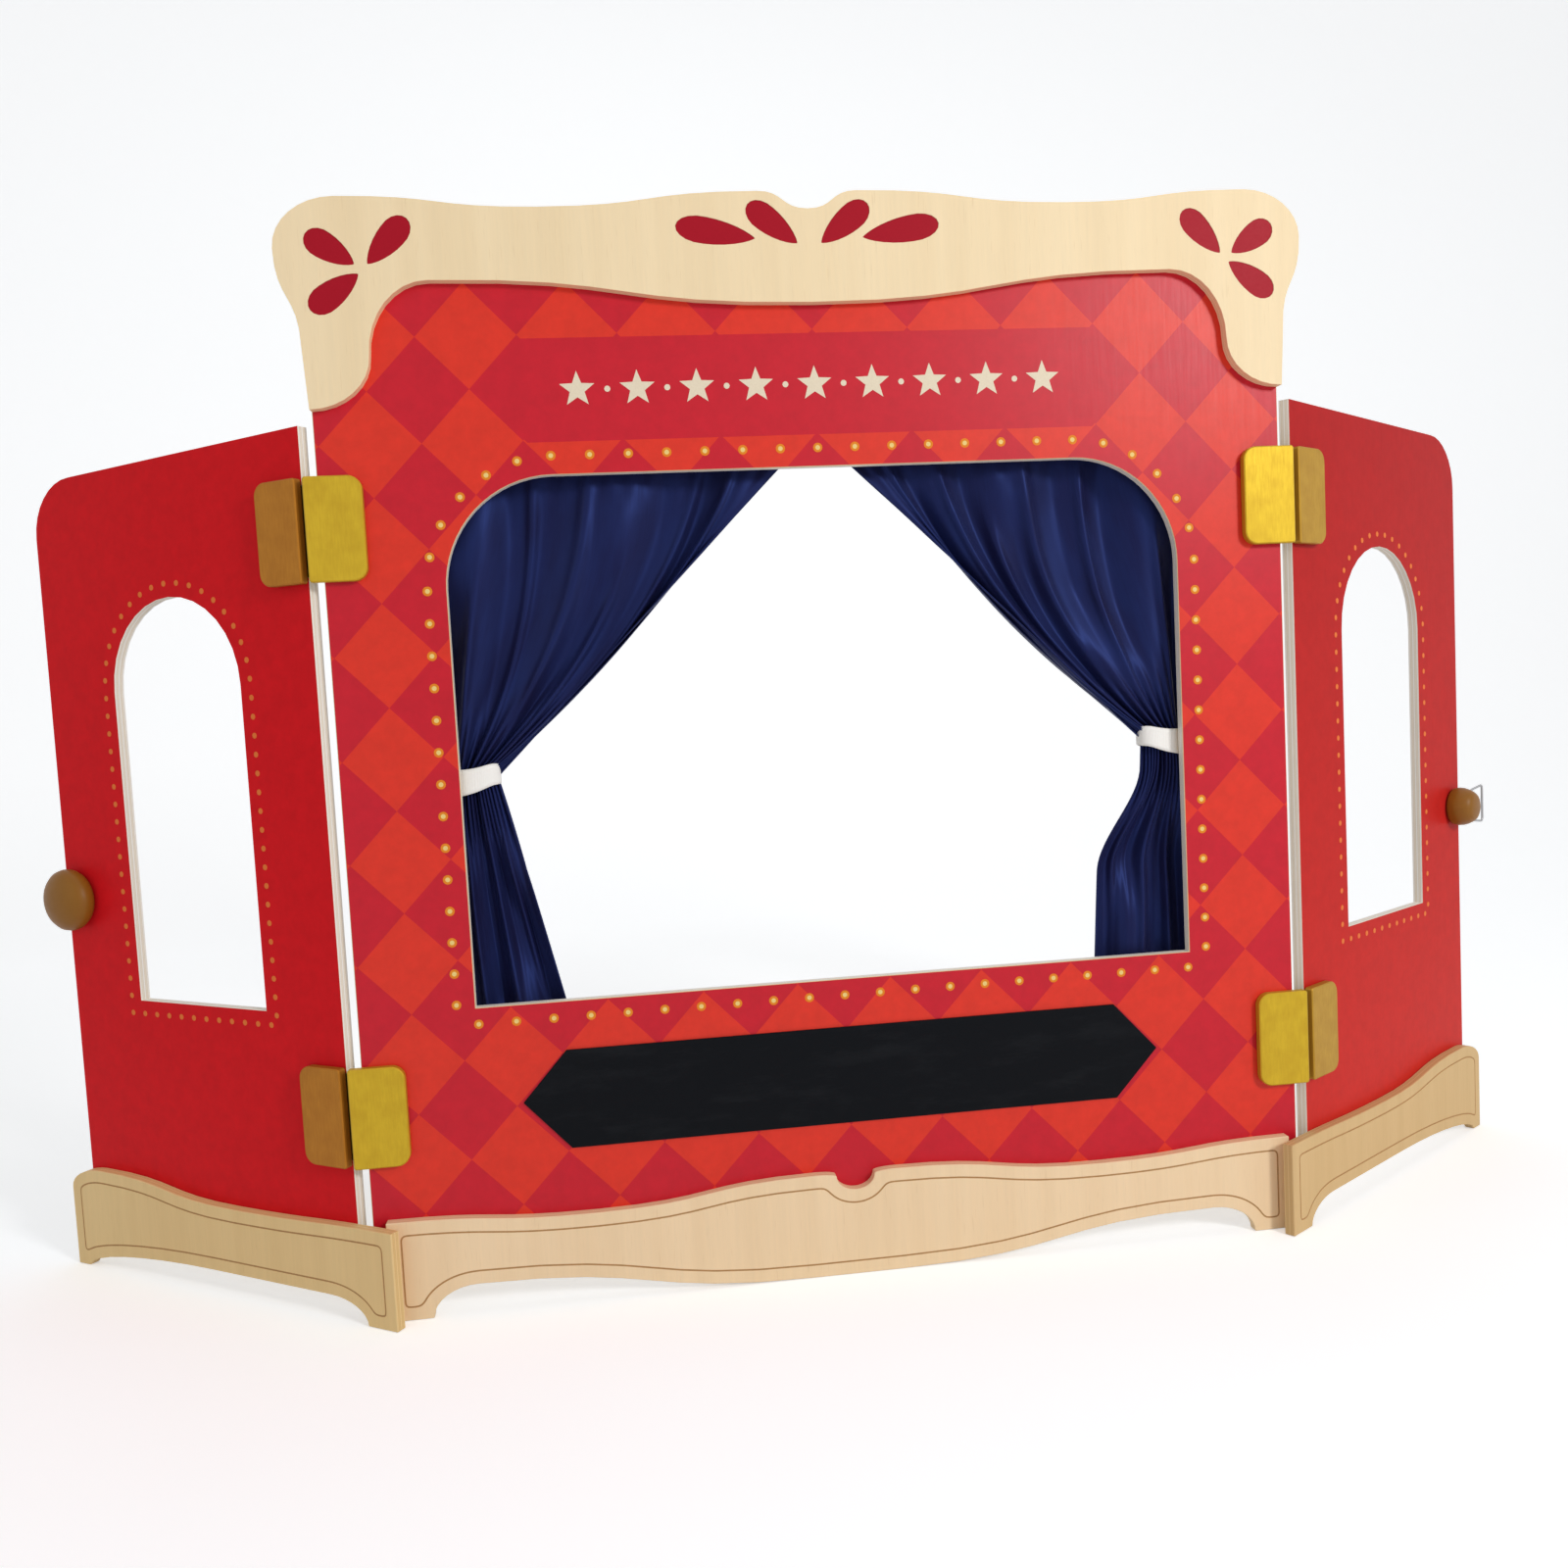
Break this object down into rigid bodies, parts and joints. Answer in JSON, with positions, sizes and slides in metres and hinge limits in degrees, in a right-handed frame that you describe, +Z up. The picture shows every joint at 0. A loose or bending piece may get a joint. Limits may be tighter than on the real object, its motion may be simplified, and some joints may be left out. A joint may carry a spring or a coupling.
{
  "type": "tabletop puppet theatre",
  "caption": "Tabletop puppet theatre: a plywood screen with a stage window, tied-back curtains, scrolled crest and base boards, and hinged wings with arched windows.",
  "frame": {"origin": "on the floor, at the middle of the base board's centre lobe and of its thickness", "axes": "+X to the audience's right along the screen, +Y from the audience to the back, +Z up"},
  "size_m": [0.9126, 0.1451, 0.577],
  "materials": {
    "harlequin_board": "printed satin",
    "crest_ply": "bare light plywood",
    "base_ply": "bare light plywood",
    "wing_board": "printed satin",
    "chalkboard": "matt black",
    "gold_wood": "gold paint",
    "brass": "satin",
    "steel": "bright",
    "stained_wood": "stained and varnished",
    "beech": "bare",
    "satin": "satin cloth",
    "ribbon": "ribbon"
  },
  "bodies": {
    "screen": {"main_panel": "harlequin_board", "crest_board": "crest_ply", "base_board": "base_ply", "chalkboard_strip": "chalkboard", "curtain_rod": "beech", "rod_bracket_left": "beech", "rod_bracket_right": "beech", "curtain_left": "satin", "curtain_right": "satin", "tie_back_left": "ribbon", "tie_back_right": "ribbon", "tie_peg_left": "beech", "tie_peg_right": "beech", "screen_leaf_upper_left": "brass", "screen_leaf_lower_left": "brass", "screen_leaf_upper_right": "brass", "screen_leaf_lower_right": "brass", "hinge_pin_upper_left": "brass", "hinge_pin_lower_left": "brass", "hinge_pin_upper_right": "brass", "hinge_pin_lower_right": "brass", "screen_cover_upper_left": "gold_wood", "screen_cover_lower_left": "gold_wood", "screen_cover_upper_right": "gold_wood", "screen_cover_lower_right": "gold_wood"},
    "left_wing": {"wing_panel_left": "wing_board", "wing_base_left": "base_ply", "wing_leaf_upper_left": "brass", "wing_leaf_lower_left": "brass", "wing_cover_upper_left": "gold_wood", "wing_cover_lower_left": "gold_wood", "knob_bolt_left": "steel", "knob_left": "stained_wood"},
    "right_wing": {"wing_panel_right": "wing_board", "wing_base_right": "base_ply", "wing_leaf_upper_right": "brass", "wing_leaf_lower_right": "brass", "wing_cover_upper_right": "gold_wood", "wing_cover_lower_right": "gold_wood", "knob_bolt_right": "steel", "knob_right": "stained_wood"},
    "bail": {"wire_bail": "steel"}
  },
  "joints": [
    {"name": "left_wing_fold", "type": "hinge", "parent": "screen", "child": "left_wing", "pos_m": [-0.2605, 0.006, 0.261], "axis": [0, 0, -1], "range_deg": [-7, 56]},
    {"name": "right_wing_fold", "type": "hinge", "parent": "screen", "child": "right_wing", "pos_m": [0.2605, 0.006, 0.261], "axis": [0, 0, 1], "range_deg": [-7, 56]},
    {"name": "bail_swing", "type": "hinge", "parent": "right_wing", "child": "bail", "pos_m": [0.44432, 0.11636, 0.22], "axis": [0, 0, 1], "range_deg": [-75, 75]}
  ]
}
